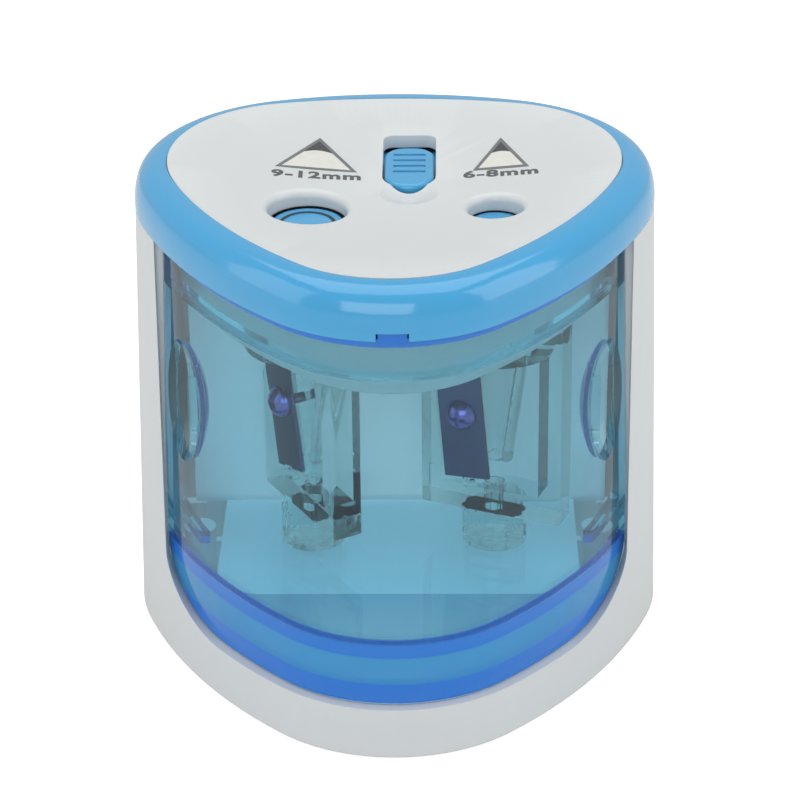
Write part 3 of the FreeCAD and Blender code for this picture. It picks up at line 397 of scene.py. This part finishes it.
def new_piece(name, mesh, material, body):
    thing = bpy.data.objects.new(name, mesh)
    bpy.context.scene.collection.objects.link(thing)
    thing.data.materials.append(material)
    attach(thing, body)
    return thing


def printed(name, outlines, material):
    """Closed thin solid on the top plate; outlines is a list of rings of (x, y) points in millimetres."""
    vertices = []
    faces = []
    for ring in outlines:
        start = len(vertices)
        count = len(ring)
        for level in (INK_LOW, INK_HIGH):
            vertices += [(x * MM, y * MM, (plate_height(x, y) + level) * MM) for x, y in ring]
        faces.append([start + n for n in reversed(range(count))])
        faces.append([start + count + n for n in range(count)])
        for n in range(count):
            after = (n + 1) % count
            faces.append([start + n, start + after, start + count + after, start + count + n])
    mesh = bpy.data.meshes.new(name)
    mesh.from_pydata(vertices, [], faces)
    mesh.update()
    new_piece(name, mesh, material, "housing")


def blend_points(first, second, share):
    return tuple(a + (b - a) * share for a, b in zip(first, second))


def bars(corners, width):
    """Frame of a triangle as three mitred strips, width millimetres wide."""
    middle = tuple(sum(c[k] for c in corners) / 3 for k in (0, 1))
    reach = min(math.dist(middle, blend_points(corners[n], corners[(n + 1) % 3], 0.5)) for n in range(3))
    share = width / reach
    inner = [blend_points(c, middle, share) for c in corners]
    return [[corners[n], corners[(n + 1) % 3], inner[(n + 1) % 3], inner[n]] for n in range(3)], inner


def pencil_mark(name, apex, left, right, tip_share):
    """Triangle mark of a pencil point: frame, pale wood and a dark lead with a hollow lower edge."""
    strips, inner = bars((apex, left, right), FRAME_WIDTH)
    printed(name + "_frame", strips, ink(name + "_frame_ink", (0.16, 0.17, 0.18)))
    steps = 10
    on_left = blend_points(inner[0], inner[1], tip_share)
    on_right = blend_points(inner[0], inner[2], tip_share)
    sag = 0.16 * math.dist(on_left, on_right)
    curve = []
    for n in range(steps + 1):
        x, y = blend_points(on_left, on_right, n / steps)
        curve.append((x, y + sag * math.sin(math.pi * n / steps)))
    printed(name + "_lead", [[inner[0]] + curve], ink(name + "_lead_ink", (0.055, 0.058, 0.062)))
    printed(name + "_wood", [[inner[1], inner[2]] + curve[::-1]], ink(name + "_wood_ink", (0.70, 0.70, 0.64)))


def size_mark(name, words, left, right, baseline, slope):
    """Size range in plain bold figures between two x positions, lying on the plate."""
    curve = bpy.data.curves.new(name, "FONT")
    curve.body = words
    curve.size = 1.0
    curve.offset = 0.034
    curve.space_character = 1.12
    curve.resolution_u = 3
    carrier = bpy.data.objects.new(name + "_text", curve)
    bpy.context.scene.collection.objects.link(carrier)
    bpy.context.view_layer.update()
    flat = bpy.data.meshes.new_from_object(carrier.evaluated_get(bpy.context.evaluated_depsgraph_get()))
    bpy.data.objects.remove(carrier)
    low = min(v.co.x for v in flat.vertices)
    high = max(v.co.x for v in flat.vertices)
    scale = (right - left) / (high - low)
    for v in flat.vertices:
        x = left + (v.co.x - low) * scale
        y = baseline + (x - left) * slope + v.co.y * scale * 0.86
        v.co = Vector((x, y, plate_height(x, y) + INK_LOW)) * MM
    thing = new_piece(name, flat, ink(name + "_ink", (0.10, 0.105, 0.11)), "housing")
    body = thing.modifiers.new("thickness", "SOLIDIFY")
    body.thickness = (INK_HIGH - INK_LOW) * MM
    body.offset = 1.0


def shutter_ring():
    """Dark printed ring on the shutter under the large hole."""
    shutter_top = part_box("safety_shutter")[1].z
    centre = Vector((*RING_CENTRE, 0.0)) * MM
    inner, outer = RING_RADII
    profile = ((inner, 0.0), (outer, 0.0), (outer, RING_THICK), (inner, RING_THICK))
    vertices = []
    faces = []
    for n in range(RING_STEPS):
        angle = 2 * math.pi * n / RING_STEPS
        for radius, lift in profile:
            way = Vector((math.cos(angle), math.sin(angle), 0.0)) * radius * MM
            vertices.append(centre + way + Vector((0.0, 0.0, shutter_top + (lift + RING_LIFT) * MM)))
        for k in range(4):
            after = (n + 1) % RING_STEPS
            faces.append([4 * n + k, 4 * after + k, 4 * after + (k + 1) % 4, 4 * n + (k + 1) % 4])
    mesh = bpy.data.meshes.new("shutter_ring")
    mesh.from_pydata(vertices, [], faces)
    mesh.update()
    new_piece("shutter_ring", mesh, ink("ring_ink", (0.03, 0.035, 0.04)), "shutter")


def top_marks():
    pencil_mark("wide_pencil", (-12.9, 22.1), (-20.15, 10.4), (-6.3, 8.9), 0.42)
    pencil_mark("slim_pencil", (18.1, 21.5), (13.2, 9.0), (22.7, 9.7), 0.42)
    size_mark("wide_size", "9-12mm", -20.7, -5.6, 6.6, -0.05)
    size_mark("slim_size", "6-8mm", 11.6, 24.2, 6.3, 0.03)


# ---------- stage, light and camera ----------

ROOM_COLOUR = (0.97, 0.985, 1.0, 1.0)
ROOM_LIGHT = 0.56
FLOOR_REACH = 3.0
FLOOR_LIGHT = 0.05
FLOOR_LIGHT_SEEN = 0.75


def soft_light(name, place, aim, size, power):
    light = bpy.data.lights.new(name, "AREA")
    light.shape = "RECTANGLE"
    light.size, light.size_y = size
    light.energy = power
    thing = bpy.data.objects.new(name, light)
    thing.location = place
    way = Vector(aim) - Vector(place)
    thing.rotation_euler = way.to_track_quat("-Z", "Y").to_euler()
    bpy.context.scene.collection.objects.link(thing)


def lights():
    """Even room light and four soft panels round the object."""
    world = bpy.data.worlds.new("studio")
    world.use_nodes = True
    background = world.node_tree.nodes["Background"]
    background.inputs["Color"].default_value = ROOM_COLOUR
    background.inputs["Strength"].default_value = ROOM_LIGHT
    bpy.context.scene.world = world
    middle = (0.0, 0.0, 0.045)
    soft_light("overhead", (0.0, 0.10, 0.75), middle, (0.9, 0.7), 2.6)
    soft_light("front_fill", (-0.15, -0.9, 0.35), middle, (0.8, 0.5), 2.2)
    soft_light("right_side", (0.75, -0.15, 0.35), middle, (0.5, 0.7), 1.5)
    soft_light("left_side", (-0.75, -0.15, 0.30), middle, (0.5, 0.7), 1.0)


def floor_paper():
    """Pale paper that looks brighter to the camera than it lights the object, and is clear from below."""
    s = Shader("paper")
    s.set(Roughness=0.85, Emission_Color=(1.0, 1.0, 1.0, 1.0))
    seen = s.tree.nodes.new("ShaderNodeLightPath").outputs["Is Camera Ray"]
    s.link(s.between(seen, FLOOR_LIGHT, FLOOR_LIGHT_SEEN), s.surface.inputs["Emission Strength"])
    s.link(s.blend(s.noise(4.0), (0.70, 0.70, 0.70), (0.73, 0.73, 0.73)), s.surface.inputs["Base Color"])
    see_through = s.add("ShaderNodeBsdfTransparent").outputs["BSDF"]
    one_sided = s.layered(s.geometry("Backfacing"), s.surface.outputs["BSDF"], see_through)
    s.link(one_sided, s.output.inputs["Surface"])
    return s.done()


def floor():
    mesh = bpy.data.meshes.new("floor")
    corners = [(x * FLOOR_REACH, y * FLOOR_REACH, 0) for x, y in ((-1, -1), (1, -1), (1, 1), (-1, 1))]
    mesh.from_pydata(corners, [], [(0, 1, 2, 3)])
    thing = bpy.data.objects.new("floor", mesh)
    bpy.context.scene.collection.objects.link(thing)
    mesh.materials.append(floor_paper())


def camera():
    level = math.cos(PITCH)
    back = Vector((math.sin(AZIMUTH) * level, -math.cos(AZIMUTH) * level, math.sin(PITCH)))
    right = Vector((math.cos(AZIMUTH), math.sin(AZIMUTH), 0.0))
    up = back.cross(right)
    turned_right = math.cos(ROLL) * right + math.sin(ROLL) * up
    turned_up = -math.sin(ROLL) * right + math.cos(ROLL) * up
    axes = Matrix((turned_right, turned_up, back)).transposed()
    lens = bpy.data.cameras.new("camera")
    lens.lens = LENS
    lens.clip_start = 0.01
    thing = bpy.data.objects.new("camera", lens)
    thing.matrix_world = Matrix.Translation(TARGET + back * DISTANCE) @ axes.to_4x4()
    bpy.context.scene.collection.objects.link(thing)
    bpy.context.scene.camera = thing


dress_cad_nodes()
top_marks()
shutter_ring()
lights()
floor()
camera()
bpy.context.scene.view_settings.view_transform = "Standard"
